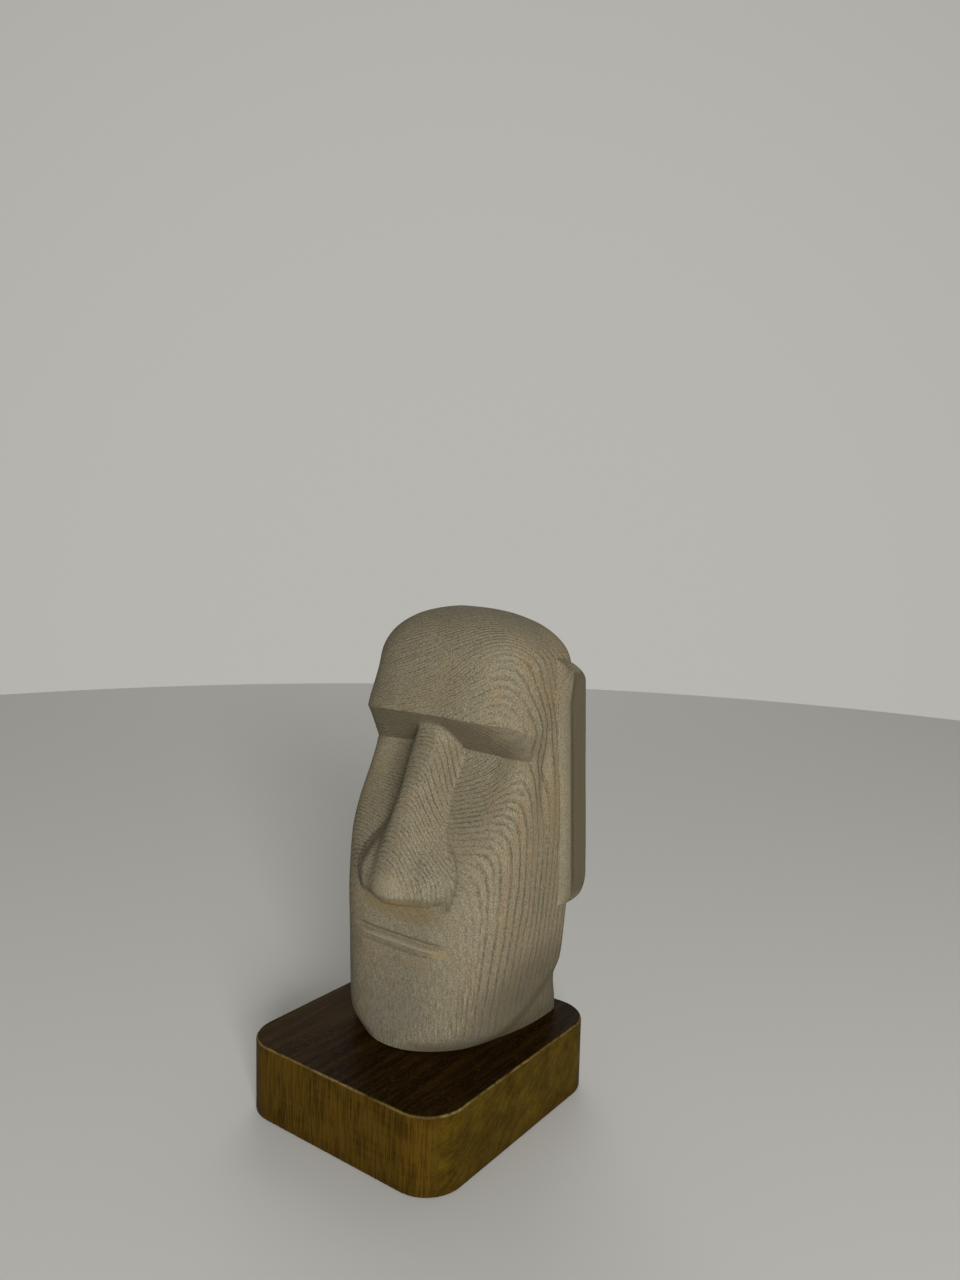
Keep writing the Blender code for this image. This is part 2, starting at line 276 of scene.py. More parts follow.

# Spots of the head's stain and of its painted shadow (below the nose, at the brow's end, in the mouth's slit
# and on the neck): the middle and the reach of a soft ellipsoid on each side, in millimetres
SHADOW_BELOW_NOSE = ((4.0, -12.0, 67.0), (15.0, 9.0, 4.2))
NOSE_EDGE = ((3.0, -18.0, 70.6), (18.0, 10.0, 2.4))
NOSE_TIP = ((4.0, -24.0, 76.0), (9.0, 6.0, 8.0))
NOSE_BRIDGE = ((0.0, -8.0, 114.0), (9.0, 14.0, 11.0))
CHEEK = ((18.0, -14.0, 104.0), (10.0, 14.0, 12.0))
BROW_END_SHADE = ((30.0, 7.0, 117.5), (8.0, 12.0, 7.0))
MOUTH_END = ((16.0, -17.0, 56.6), (5.0, 8.0, 2.2))
UPPER_LIP = ((0.0, -19.0, 57.0), (23.0, 12.0, 1.1))
MOUTH_SLIT_SHADOW = ((0.0, -19.0, 55.1), (22.0, 12.0, 0.9))
LOWER_LIP = ((9.0, -19.0, 52.0), (9.0, 9.0, 3.6))
CHIN = ((6.0, -19.0, 37.0), (8.0, 9.0, 9.0))
NECK = ((32.0, 22.0, 34.0), (22.0, 42.0, 24.0))

# Plinth: its corners and cuts, the blots of its varnish in millimetres, and where its faces turn
PLINTH_CORNER_RADIUS = 0.0125
PLINTH_CORNER_STEPS = 24
PLINTH_RIM_STEPS = 5
PLINTH_INSET = 0.0002
PLINTH_CUTS = 56
STREAK_SIZES = (3.0, 34.0, 6.0)
FLECK_SIZES = (0.5, 1.6, 0.5)
UPRIGHT_SIZES = (0.50, 0.50, 9.0)
LEVEL_LINE_SIZES = (16.0, 16.0, 1.1)
BLOT_SIZES = (12.0, 9.0, 8.0)
FIGURE_SIZES = (3.0, 5.5, 1.3)
FIGURE_SLANT = radians(-34.0)
RAGGED_SIZES = (2.2, 2.2, 1.2)
KEPT_SIZES = (13.0, 13.0, 13.0)
SHEEN_SIZES = (5.0, 9.0, 5.0)
TOP_FACING = (0.45, 0.85)
END_FACING = (0.5, 0.85)
# Where the painted sheen on the top fades in towards -x, in millimetres
PAINTED_SHEEN_OUT = (5.0, 40.0)
PLINTH_FOOT_HEIGHT = 6.0

# Stage
FLOOR_GAP = 0.0002
SKY_COLOUR = (0.80, 0.79, 0.74)
SKY_AROUND = 0.145
SKY_BEHIND = 0.59
LIGHTS = (
    ("key_light", (0.96, -0.88, 0.38), 0.45, 18.0),
    ("back_light", (-0.9, 1.1, 1.1), 0.9, 3.6),
)


def clamp(value, low=0.0, high=1.0):
    """Keep a value between two limits."""
    return max(low, min(high, value))


def ease(value, start, end):
    """Smooth step from 0 at start to 1 at end."""
    share = clamp((value - start) / (end - start))
    return share * share * (3.0 - 2.0 * share)


def straight(stops, place):
    """Straight runs through pairs of place and value."""
    for (place_a, value_a), (place_b, value_b) in zip(stops, stops[1:]):
        if place <= place_b:
            break
    return value_a + (value_b - value_a) * (place - place_a) / (place_b - place_a)


def through(stations, level, item=1):
    """Smooth curve through one item of the stations."""
    last = len(stations) - 1
    level = clamp(level, stations[0][0], stations[last][0])
    k = 0
    while k < last - 1 and stations[k + 1][0] < level:
        k += 1

    def slope(i):
        below, above = stations[max(i - 1, 0)], stations[min(i + 1, last)]
        return (above[item] - below[item]) / (above[0] - below[0])

    step = stations[k + 1][0] - stations[k][0]
    share = (level - stations[k][0]) / step
    square, cube = share ** 2, share ** 3
    return (stations[k][item] * (2.0 * cube - 3.0 * square + 1.0)
            + slope(k) * step * (cube - 2.0 * square + share)
            + stations[k + 1][item] * (3.0 * square - 2.0 * cube)
            + slope(k + 1) * step * (cube - square))


def block_point(level, angle):
    """Point of the plain block at a level, seen at an angle from the face's centre line."""
    half = through(STATIONS, level, 1)
    if angle < pi / 2:
        depth, square = -through(STATIONS, level, 2), through(STATIONS, level, 4)
    else:
        depth, square = through(STATIONS, level, 3), through(STATIONS, level, 5)
    reach = (abs(sin(angle) / half) ** square + abs(cos(angle) / depth) ** square) ** (-1.0 / square)
    x, y = reach * sin(angle), -reach * cos(angle)
    share = clamp((level - CROWN_START) / (TOP_LEVEL - CROWN_START))
    scale = (1.0 - share ** CROWN_POWER) ** (1.0 / CROWN_POWER)
    return x * scale, CROWN_CENTRE + (y - CROWN_CENTRE) * scale


def brow_and_socket(level, x):
    """How far the brow's roll stands before the block, or the eye socket and cheek lie behind it."""
    depth = SOCKET_DEPTH * (1.0 - SOCKET_SIDE_LOSS * ease(x, SOCKET_SIDE_START, SOCKET_SIDE_END))
    if level >= BROW_EDGE:
        return -BROW_ROLL * exp(-((level - BROW_EDGE) / BROW_ROLL_HEIGHT) ** 2)
    if level >= CREASE:
        return -BROW_ROLL + (depth + BROW_ROLL) * (BROW_EDGE - level) / (BROW_EDGE - CREASE)
    return depth * ease(level, CHEEK_FOOT, CREASE)


def face_front(level, x):
    """The face's y at a level and a distance from the middle, before the nose is put on it."""
    half, depth = through(STATIONS, level, 1), through(STATIONS, level, 2)
    square = through(STATIONS, level, 4)
    return depth * (1.0 - (x / half) ** square) ** (1.0 / square) + brow_and_socket(level, x)


def nose_surface(level, x):
    """The nose's own surface, as a y: a rounded front, a flank and a wing on each side."""
    ridge, half = through(NOSE, level, 1), through(NOSE, level, 2)
    rounding, foot = through(NOSE, level, 3), through(NOSE, level, 4)
    slope = (face_front(min(level, CREASE), foot) - ridge - rounding) / (foot - half)
    corner = NOSE_CORNER * rounding
    flank = corner * log(1.0 + exp((x - half) / corner))
    bridge = ridge + rounding * (min(x, half) / half) ** 2 + slope * flank
    up = max(level - WING_LEVEL, 0.0)
    leaned = x + WING_LEAN * up
    wing_flank = WING_FLANK_CORNER * log(1.0 + exp((leaned - WING_FLANK_X) / WING_FLANK_CORNER))
    wing = (WING_FRONT + WING_CURVE * (leaned - WING_X) ** 2 + WING_FLANK_SLOPE * wing_flank
            + WING_FALL * (up / WING_HEIGHT) ** 2)
    cut = clamp((NOSE_BASE + NOSE_BASE_ROUNDING - level) / NOSE_BASE_ROUNDING)
    underside = NOSE_BASE_ROUNDING * (1.0 - (1.0 - cut ** 2) ** 0.5)
    aside, above = x - VALLEY_X - VALLEY_LEAN * (level - VALLEY_LEVEL), level - VALLEY_LEVEL
    valley = VALLEY_DEPTH * exp(-(aside / VALLEY_REACH) ** 2 - (above / VALLEY_HEIGHT) ** 2)
    return soft_front(bridge + underside, wing + WING_UNDERSIDE * underside, WING_BLEND) + valley


def soft_front(first, second, blend):
    """The one of two surfaces that lies in front, with a rounded join."""
    share = clamp(0.5 + 0.5 * (second - first) / blend)
    return second + (first - second) * share - blend * share * (1.0 - share)


def wing_lift(level, x):
    """How far the nose's lower edge, and the rows by it, rise towards the wings."""
    low, base, top, high = WING_LIFT_LEVELS
    share = ease(level, low, base) * (1.0 - ease(level, top, high))
    inside = 1.0 - ease(x, WING_LIFT_X, WING_LIFT_END_X)
    return WING_LIFT * share * inside * (x / WING_LIFT_X) ** 2


def brow_droop(level, x, angle):
    """How far the brow and the rows by it sink towards the sides, most of all at the brow's tail."""
    low, crease_and_shadow, edge, high = BROW_DROOP_LEVELS
    share = ease(level, low, crease_and_shadow) * (1.0 - ease(level, edge, high))
    tail = BROW_TAIL * ease(angle, BROW_TAIL_START, BROW_TAIL_END)
    return share * (BROW_DROOP * min(x / BROW_DROOP_X, 1.0) ** 2 + tail)


def lip_relief(level, x):
    """The mouth's slit, less the swell of the two lips."""
    inside = 1.0 - ease(x, MOUTH_HALF_WIDTH - MOUTH_CORNER, MOUTH_HALF_WIDTH)
    return inside * sum(depth * exp(-((level - MOUTH_LEVEL - height) / reach) ** 2)
                        for height, reach, depth in LIPS)


def ear_stand(level):
    """Share of its full stand that the ear has at a level: rounded at its foot, sloping at its top."""
    if level < EAR_FOOT + EAR_FOOT_ROUND:
        gone = clamp((EAR_FOOT + EAR_FOOT_ROUND - level) / EAR_FOOT_ROUND)
        return (1.0 - gone ** 2) ** 0.5
    gone = clamp((level - EAR_TOP + EAR_TOP_ROUND) / EAR_TOP_ROUND)
    return (1.0 - gone ** 2) ** EAR_TOP_POWER


def column_place(column, level):
    """Angle of a column at a level, and the share of the ear's stand that it takes."""
    front = EAR_FRONT + EAR_LEAN * (CREASE - level)
    rear = front + EAR_WIDTH
    front += EAR_TOP_BACK * ease(level, EAR_TOP_BACK_START, EAR_TOP)
    half = through(STATIONS, level, 1)
    spread = EAR_SPREAD * (1.0 - ear_stand(level))

    def angle_of(y):
        return pi / 2 + atan2(y, half)

    if column <= FACE_STOPS[-1][0]:
        return radians(straight(FACE_STOPS, column)), 0.0
    if column <= EAR_FRONT_COLUMN:
        start_column, start = FACE_STOPS[-1]
        share = (column - start_column) / (EAR_FRONT_COLUMN - start_column)
        return radians(start) + share * (angle_of(front - spread) - radians(start)), 0.0
    if column <= EAR_CORNER_COLUMN:
        share = (column - EAR_FRONT_COLUMN) / (EAR_CORNER_COLUMN - EAR_FRONT_COLUMN)
        flute = EAR_FLUTE * sin(pi * share) * ear_stand(level)
        return angle_of(front - spread * (1.0 - share) + flute), share
    if column <= EAR_REAR_COLUMN:
        share = (column - EAR_CORNER_COLUMN) / (EAR_REAR_COLUMN - EAR_CORNER_COLUMN)
        return angle_of(front + share * (rear - front)), 1.0
    if column <= EAR_END_COLUMN:
        share = (column - EAR_REAR_COLUMN) / (EAR_END_COLUMN - EAR_REAR_COLUMN)
        return angle_of(rear + spread * share), 1.0 - share
    share = (column - EAR_END_COLUMN) / (HALF_COLUMN_COUNT - EAR_END_COLUMN)
    return angle_of(rear + spread) + share * (pi - angle_of(rear + spread)), 0.0


def head_point(column, level, side):
    """Point of the carved head for a column and a level, as if on its left half."""
    angle, out = column_place(column, level)
    x, y = block_point(level, angle)
    x += out * ear_stand(level) * max(EAR_OUT - x, 0.0)
    front = 1.0 - ease(angle, FACE_END - FACE_FADE, FACE_END)
    socket = brow_and_socket(level, x) * front
    turn = SOCKET_TURN * ease(angle, SOCKET_TURN_START, FACE_END)
    x, y = x - socket * sin(turn), y + socket * cos(turn)
    if x < NOSE_REACH and NOSE_BASE < level < NOSE[-1][0] and angle < pi / 2:
        crisp = NOSE_CRISP if side > 0.0 else NOSE_CRISP_FAR
        blend = NOSE_BLEND - crisp * (1.0 - ease(level, *NOSE_CRISP_LEVELS))
        y = soft_front(y, nose_surface(level, x), blend)
    y += lip_relief(level, x) * front
    z = level + wing_lift(level, x) - brow_droop(level, x, angle) * front
    under_jaw = ease(JAW_SLOPE * (y - JAW_START) - z, -JAW_BLEND, JAW_BLEND)
    x -= NECK_INSET * under_jaw * ease(x, NECK_START_X, NECK_FULL_X)
    return x, y, z


def row_level(row):
    """Level of a row of the skin; the rows of the crown close up as it turns over."""
    if row <= ROW_STOPS[-2][0]:
        return straight(ROW_STOPS, row)
    share = (row - ROW_STOPS[-2][0]) / (ROW_STOPS[-1][0] - ROW_STOPS[-2][0])
    return CROWN_START + (TOP_LEVEL - CROWN_START) * sin(share * pi / 2)


class Signal:
    """A shader value that can stand in a Python expression: each operator adds its Math node."""

    def __init__(self, finish, socket):
        self.finish = finish
        self.socket = socket

    def __add__(self, other):
        return self.finish.maths("ADD", self, other)

    def __radd__(self, other):
        return self.finish.maths("ADD", other, self)

    def __sub__(self, other):
        return self.finish.maths("SUBTRACT", self, other)

    def __rsub__(self, other):
        return self.finish.maths("SUBTRACT", other, self)

    def __mul__(self, other):
        return self.finish.maths("MULTIPLY", self, other)

    def __rmul__(self, other):
        return self.finish.maths("MULTIPLY", other, self)

    def __truediv__(self, other):
        return self.finish.maths("DIVIDE", self, other)

    def __pow__(self, other):
        return self.finish.maths("POWER", self, other)


class Finish:
    """A material being put together: a Principled shader and what feeds it."""

    def __init__(self, name, **constants):
        self.material = bpy.data.materials.new(name)
        self.material.use_nodes = True
        self.tree = self.material.node_tree
        self.shader = self.tree.nodes["Principled BSDF"]
        for socket, value in constants.items():
            self.shader.inputs[socket.replace("_", " ")].default_value = value

    def add(self, kind, settings=None, inputs=None, output=0):
        """Add a node, set it, feed its sockets with values or signals, and return one of its outputs."""
        node = self.tree.nodes.new(kind)
        for key, value in (settings or {}).items():
            setattr(node, key, value)
        for key, value in (inputs or {}).items():
            self.feed(node.inputs[key], value)
        return Signal(self, node.outputs[output])

    def feed(self, socket, value):
        """Link a signal to a socket, or set the socket's value."""
        if isinstance(value, Signal):
            self.tree.links.new(value.socket, socket)
        elif hasattr(socket.default_value, "__len__") and len(value) < len(socket.default_value):
            socket.default_value = (*value, 1.0)
        else:
            socket.default_value = value

    def maths(self, operation, *values):
        """One Math node on numbers."""
        return self.add("ShaderNodeMath", {"operation": operation}, dict(enumerate(values)))

    def place(self):
        """Object coordinates in millimetres."""
        coordinates = self.add("ShaderNodeTexCoord", output="Object")
        return self.stretch(coordinates, (1000.0, 1000.0, 1000.0))

    def facing(self):
        """Which way the surface faces, in x, y and z."""
        return self.parts(self.add("ShaderNodeTexCoord", output="Normal"))

    def stretch(self, vector, factors):
        """A vector with each of its parts multiplied."""
        return self.add("ShaderNodeVectorMath", {"operation": "MULTIPLY"}, {0: vector, 1: factors})

    def parts(self, vector):
        """The three parts of a vector."""
        first = self.add("ShaderNodeSeparateXYZ", inputs={0: vector})
        outputs = first.socket.node.outputs
        return Signal(self, outputs[0]), Signal(self, outputs[1]), Signal(self, outputs[2])

    def cloud(self, vector, sizes, detail=2.0, roughness=0.5):
        """Noise from 0 to 1 whose blots have the given sizes in millimetres."""
        shrunk = self.stretch(vector, tuple(1.0 / size for size in sizes))
        return self.add("ShaderNodeTexNoise", {"noise_dimensions": "3D"},
                        {"Vector": shrunk, "Scale": 1.0, "Detail": detail, "Roughness": roughness})

    def between(self, value, low, high):
        """Smooth step of a value from 0 at low to 1 at high."""
        return self.add("ShaderNodeMapRange", {"interpolation_type": "SMOOTHSTEP"},
                        {"Value": value, "From Min": low, "From Max": high})

    def tint(self, mask, first, second, blend="MIX"):
        """A colour that goes from the first to the second as the mask goes from 0 to 1."""
        return self.add("ShaderNodeMix", {"data_type": "RGBA", "blend_type": blend, "clamp_factor": True},
                        {"Factor": mask, 6: first, 7: second}, output=2)

    def spot(self, place, centre, sizes):
        """1 in the middle of a soft ellipsoid and 0 outside it, the same on both sides of the statue."""
        x, y, z = self.parts(place)
        total = None
        for part, middle, size in zip((self.maths("ABSOLUTE", x), y, z), centre, sizes):
            share = (part - middle) / size
            total = share * share if total is None else total + share * share
        return 1.0 - self.between(total, 0.1, 1.0)

    def finish_with(self, colour, roughness, height, depth):
        """Feed the shader: colour, roughness and a relief of the given depth in metres."""
        self.feed(self.shader.inputs["Base Color"], colour)
        self.feed(self.shader.inputs["Roughness"], roughness)
        bump = self.add("ShaderNodeBump", inputs={"Height": height, "Strength": 1.0, "Distance": depth})
        self.feed(self.shader.inputs["Normal"], bump)
        return self.material


def ring_ridges(wood, place, flush, aside, sizes):
    """Growth rings, from 0 in a groove to 1 on a ridge, and a tone from 0 to 1 that differs by ring."""
    x, y, z = wood.parts(place)
    wave = (wood.cloud(place, RING_WAVE_SIZES) - 0.5) * RING_WAVE
    fray = (wood.cloud(place, RING_FRAY_SIZES, 1.0) - 0.5) * RING_FRAY
    up = z - RING_MIDDLE_HEIGHT
    flat = x * RING_NORMAL[0] + y * RING_NORMAL[1] + up * RING_NORMAL[2]
    bend_across = x * (x * (RING_BEND_X / 2.0) + y * RING_BEND_XY + up * RING_BEND_XZ)
    bend = bend_across + up * up * (RING_BEND_Z / 2.0)
    ring = (flat + bend + wave + fray) / (sizes.ring_spacing * 1000.0)
    share = wood.maths("FRACT", ring)
    number = wood.maths("FLOOR", ring)
    tone = wood.add("ShaderNodeTexWhiteNoise", {"noise_dimensions": "1D"}, {"W": number})
    single = 0.5 - 0.5 * wood.maths("COSINE", share * (2.0 * pi))
    double = 0.5 - 0.5 * wood.maths("COSINE", share * (4.0 * pi))
    coarse = 0.5 - 0.5 * wood.maths("COSINE", ring * pi)
    doubled = single + (double - single) * (RING_DOUBLING * flush)
    return wood.between(doubled + (coarse - single) * (RING_COARSENING * aside), *RIDGE_SHARES), tone


def stained_ring_wood(sizes, colours):
    """Brushed ring-porous wood under a thin grey stain: raised rings, warm and cool patches, worn spots, and
    painted shade under the brow, the nose and the jaw, in the mouth's slit and by the nose's wings.
    """
    wood = Finish("stained_ring_wood", IOR=1.45, Specular_IOR_Level=0.25)
    place = wood.place()
    x, y, z = wood.parts(place)
    face_x, face_y, face_z = wood.facing()
    out = wood.maths("ABSOLUTE", x)
    forward = face_y * -1.0

    # Rings: doubled where they lie nearly flush with the surface, coarser at the sides, faint low in front
    flush = wood.between(forward, *FLUSH_FACING) * wood.between(z, *FLUSH_HEIGHTS)
    aside = wood.between(wood.maths("ABSOLUTE", face_x), *ASIDE_FACING)
    ridge, tone = ring_ridges(wood, place, flush, aside, sizes)
    broken = wood.between(wood.cloud(place, RING_BREAK_SIZES, 1.0), 0.30, 0.55)
    showing = wood.maths("MAXIMUM", wood.between(z, *SHOWING_HEIGHTS), wood.between(out, *SHOWING_OUT))
    patchy = wood.between(wood.cloud(place, RING_PATCH_SIZES), 0.32, 0.6)
    line = ((1.0 - ridge) * (0.20 + 0.80 * showing) * (0.45 + 0.55 * patchy) * (0.6 + 0.4 * tone)
            * (0.5 + 0.5 * broken))
    raised = 1.0 - line * (1.0 - 0.20 * flush)
    strip = (wood.between(forward, *STRIP_FACING) * (1.0 - wood.between(z, *STRIP_TOP_HEIGHTS))
             * wood.between(out - STRIP_LEAN * (z - STRIP_LEAN_HEIGHT), *STRIP_OUT))
    outer = wood.between(out, *EAR_SIDE_OUT)
    raised = wood.maths("MAXIMUM", raised, 0.85 * outer + 0.9 * strip)
    fibre = wood.cloud(place, FIBRE_SIZES, 3.0, 0.6)
    speckle = wood.cloud(place, SPECKLE_SIZES, 2.0, 0.6)
    pore = wood.between(wood.cloud(place, PORE_SIZES, 2.0, 0.55), 0.60, 0.74)

    # Stain: ridges and grooves, then patches, then the grain on top of them
    base = wood.tint(raised, colours.stain_groove, colours.stain_ridge)
    warm = wood.between(wood.cloud(place, WARM_SIZES, 3.0, 0.55), 0.44, 0.62)
    base = wood.tint(warm * (0.12 + 0.38 * wood.between(out, *SIDE_OUT)), base, colours.stain_warm)
    base = wood.tint(aside * raised * 0.30, base, colours.stain_warm)
    base = wood.tint(aside * (0.08 + 0.80 * (1.0 - raised)), base, colours.stain_dark_and_shade)
    tan = wood.between(wood.cloud(place, TAN_SIZES), 0.46, 0.66)
    base = wood.tint(tan * 0.22, base, colours.stain_warm)
    low = 1.0 - wood.between(z, *LOW_HEIGHTS)
    cool = wood.between(wood.cloud(place, COOL_SIZES), 0.48, 0.60)
    base = wood.tint(cool * (0.08 + 0.40 * low), base, colours.stain_cool)
    base = wood.tint(0.54 * wood.between(speckle, 0.50, 0.66), base, colours.stain_bright)
    base = wood.tint((0.15 + 0.45 * low) * wood.between(fibre, 0.50, 0.72), base, colours.stain_bright)
    base = wood.tint((0.10 + 0.45 * low) * (1.0 - wood.between(fibre, 0.32, 0.50)), base, colours.stain_dark_and_shade)
    base = wood.tint(0.70 * (1.0 - wood.between(speckle, 0.33, 0.48)), base, colours.stain_dark_and_shade)
    base = wood.tint(0.35 * pore, base, colours.stain_groove)

    # Nose wings: painted shade that deepens towards their edge, and a fine crease along it, painted dark as
    # its shadow and also cut in as relief
    across = (out - WING_EDGE_MIDDLE[0]) / WING_EDGE_REACH[0]
    upward = (z - WING_EDGE_MIDDLE[1]) / WING_EDGE_REACH[1]
    wing = wood.maths("SQRT", across ** 2.0 + upward ** 2.0)
    beside = (wood.between(out, *WING_EDGE_OUT) * wood.between(z, *WING_EDGE_FOOT)
              * wood.between(y * -1.0, *WING_EDGE_FRONT))
    crease_and_shadow = wood.between(wing, 0.96, 1.02) * (1.0 - wood.between(wing, 1.04, 1.12)) * beside
    shade = (wood.between(wing, 0.60, 1.0) * (1.0 - wood.between(wing, 1.0, 1.06)) * beside
             * (1.0 - wood.between(z, *WING_SHADE_TOP)))
    base = wood.tint(crease_and_shadow * 0.30 + shade * 0.40, base, colours.stain_dark_and_shade)

    # Spots that are dark, rubbed, pale or cool; the dark ones below the nose, in the mouth's slit, under the
    # brow and on the neck are painted shadow and shade
    # Painted shadow under the nose's lower edge, dark with a brown tinge
    below = wood.spot(place, *SHADOW_BELOW_NOSE)
    base = wood.tint(below * 0.40, base, colours.stain_dark_and_shade)
    base = wood.tint(below * 0.20, base, colours.stain_worn)
    tip = wood.spot(place, *NOSE_TIP)
    rub = wood.spot(place, *NOSE_EDGE) * 0.95 + tip * 0.15 + wood.spot(place, *MOUTH_END) * 0.40
    base = wood.tint(rub * (0.35 + 0.9 * speckle), base, colours.stain_worn)
    pale = wood.spot(place, *UPPER_LIP) * 0.50 + tip * 0.30 + wood.spot(place, *CHEEK) * 0.18
    base = wood.tint(pale, base, colours.stain_bright)
    # Painted shadow in the mouth's slit
    base = wood.tint(wood.spot(place, *MOUTH_SLIT_SHADOW) * 0.45, base, colours.stain_dark_and_shade)
    base = wood.tint(wood.spot(place, *LOWER_LIP) * 0.25, base, colours.stain_warm)
    base = wood.tint(wood.spot(place, *CHIN) * 0.35, base, colours.stain_cool)
    borders = wood.between(wood.maths("ABSOLUTE", out - STRIP_MIDDLE_OUT), *STRIP_BORDERS)
    base = wood.tint(strip * (0.15 + 0.40 * borders), base, colours.stain_bright)
    base = wood.tint(outer * 0.85, base, colours.stain_dark_and_shade)
    # Painted shade on the faces that look down, such as the brow's underside, and at the outer end of the
    # brow's underside
    under = wood.between(face_z * -1.0, *UNDER_FACING)
    base = wood.tint(under * 0.45 + wood.spot(place, *BROW_END_SHADE) * 0.25, base, colours.stain_dark_and_shade)
    base = wood.tint(wood.spot(place, *NOSE_BRIDGE) * 0.25, base, colours.stain_dark_and_shade)
    # Painted shade on the neck under the jaw, and darker towards the foot
    foot = 1.0 - wood.between(z, *FOOT_HEIGHTS)
    base = wood.tint(wood.spot(place, *NECK) * 0.50 + 0.24 * foot, base, colours.stain_dark_and_shade)
    roughness = 0.86 - 0.08 * ridge - 0.06 * speckle
    height = raised + 0.55 * speckle + 0.25 * fibre - 0.3 * pore - 0.8 * crease_and_shadow
    return wood.finish_with(base, roughness, height, sizes.ring_depth)


def varnished_board(sizes, colours):
    """Dark varnished board: long streaks on top, upright grain in front, slanting figure at the sides, and a
    painted sheen on the top towards -x.
    """
    board = Finish("varnished_board", IOR=1.5, Specular_IOR_Level=0.02)
    place = board.place()
    x, y, z = board.parts(place)
    _, face_y, face_z = board.facing()
    top = board.between(face_z, *TOP_FACING)
    end = board.between(board.maths("ABSOLUTE", face_y), *END_FACING)
    streak = board.cloud(place, STREAK_SIZES, 4.0, 0.62)
    fleck = board.cloud(place, FLECK_SIZES, 2.0, 0.6)
    top_colour = board.tint(board.between(streak, 0.42, 0.64), colours.varnish_top, colours.varnish_streak)
    top_colour = board.tint(board.between(fleck, 0.56, 0.68) * 0.50, top_colour, colours.varnish_side)
    # Painted sheen of the varnish: the top turns paler towards -x
    top_colour = board.tint(board.between(x * -1.0, *PAINTED_SHEEN_OUT) * 0.30, top_colour, colours.varnish_side)

    upright = board.cloud(place, UPRIGHT_SIZES, 3.0, 0.65)
    level_lines = board.cloud(place, LEVEL_LINE_SIZES)
    blot = board.cloud(place, BLOT_SIZES, 3.0, 0.55)
    end_mark = (board.between(upright, 0.40, 0.60) * 0.80 + board.between(level_lines, 0.4, 0.62) * 0.15
                + board.between(blot, 0.36, 0.62) * 0.35)
    end_colour = board.tint(end_mark, colours.varnish_deep, colours.varnish_side)

    slant = board.add("ShaderNodeMapping", {"vector_type": "POINT"},
                      {"Vector": place, "Rotation": (FIGURE_SLANT, 0.0, 0.0)})
    figure = board.cloud(slant, FIGURE_SIZES, 3.0, 0.6)
    side_mark = (0.06 + board.between(figure, 0.34, 0.70) * 0.26 + board.between(blot, 0.42, 0.72) * 0.34
                 + board.between(fleck, 0.42, 0.66) * 0.20)
    side_colour = board.tint(side_mark, colours.varnish_deep, colours.varnish_gold)

    around = board.tint(end, side_colour, end_colour)
    foot = 1.0 - board.between(z, 0.0, PLINTH_FOOT_HEIGHT)
    around = board.tint(foot * 0.35, around, colours.varnish_deep)
    base = board.tint(top, around, top_colour)

    ragged = board.between(board.cloud(place, RAGGED_SIZES, 3.0, 0.65), 0.34, 0.56)
    kept = board.between(board.cloud(place, KEPT_SIZES), 0.36, 0.60)
    rim = rim_share(board, x, y, z, sizes.rim_radius * 1000.0)
    worn = rim * (0.25 + 0.75 * ragged) * (0.30 + 0.70 * kept)
    base = board.tint(worn, base, colours.varnish_worn)
    roughness = 0.38 + 0.16 * board.cloud(place, SHEEN_SIZES, 3.0, 0.6) + 0.25 * worn
    height = 0.6 * upright * (1.0 - top) + 0.5 * streak * top + 0.25 * fleck
    return board.finish_with(base, roughness, height, sizes.grain_depth)


def rim_share(board, x, y, z, radius):
    """1 on the rounding of the plinth's upper rim, and 0 on its flat faces, in shader maths."""
    half_x, half_y = PLINTH_HIGH.x * 1000.0, PLINTH_HIGH.y * 1000.0
    corner = PLINTH_CORNER_RADIUS * 1000.0
    out_x = board.maths("MAXIMUM", board.maths("ABSOLUTE", x) - (half_x - corner), 0.0)
    out_y = board.maths("MAXIMUM", board.maths("ABSOLUTE", y) - (half_y - corner), 0.0)
    beyond = board.maths("SQRT", out_x * out_x + out_y * out_y) - (corner - radius)
    above = z - (PLINTH_HIGH.z * 1000.0 - radius)
    outward = board.between(beyond / radius, 0.0, 0.9)
    upward = board.between(above / radius, 0.0, 0.9)
    return outward * upward


def pale_floor(colours):
    """Plain matt floor."""
    plain = Finish("pale_floor", Roughness=0.9)
    plain.shader.inputs["Base Color"].default_value = (*colours.floor, 1.0)
    return plain.material


def finished_object(name, bm, material, node):
    """Turn a bmesh into a smooth-shaded piece that stands for a node of the frame."""
    mesh = bpy.data.meshes.new(name)
    bm.to_mesh(mesh)
    bm.free()
    mesh.shade_smooth()
    mesh.set_sharp_from_angle(angle=SMOOTH_ANGLE)
    mesh.materials.append(material)
    piece = bpy.data.objects.new(name, mesh)
    bpy.context.scene.collection.objects.link(piece)
    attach(piece, "root")
    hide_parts(node)
    return piece


def tool_mark(place, sizes):
    """How far a hand tool left the surface uneven at a place, in metres."""
    broad = noise.noise(Vector((place.x, place.y, place.z * 0.6)) / BROAD_MARK)
    fine = noise.noise(place / FINE_MARK + Vector(FINE_MARK_SHIFT))
    return sizes.tool_marks * (0.75 * broad + 0.25 * fine)


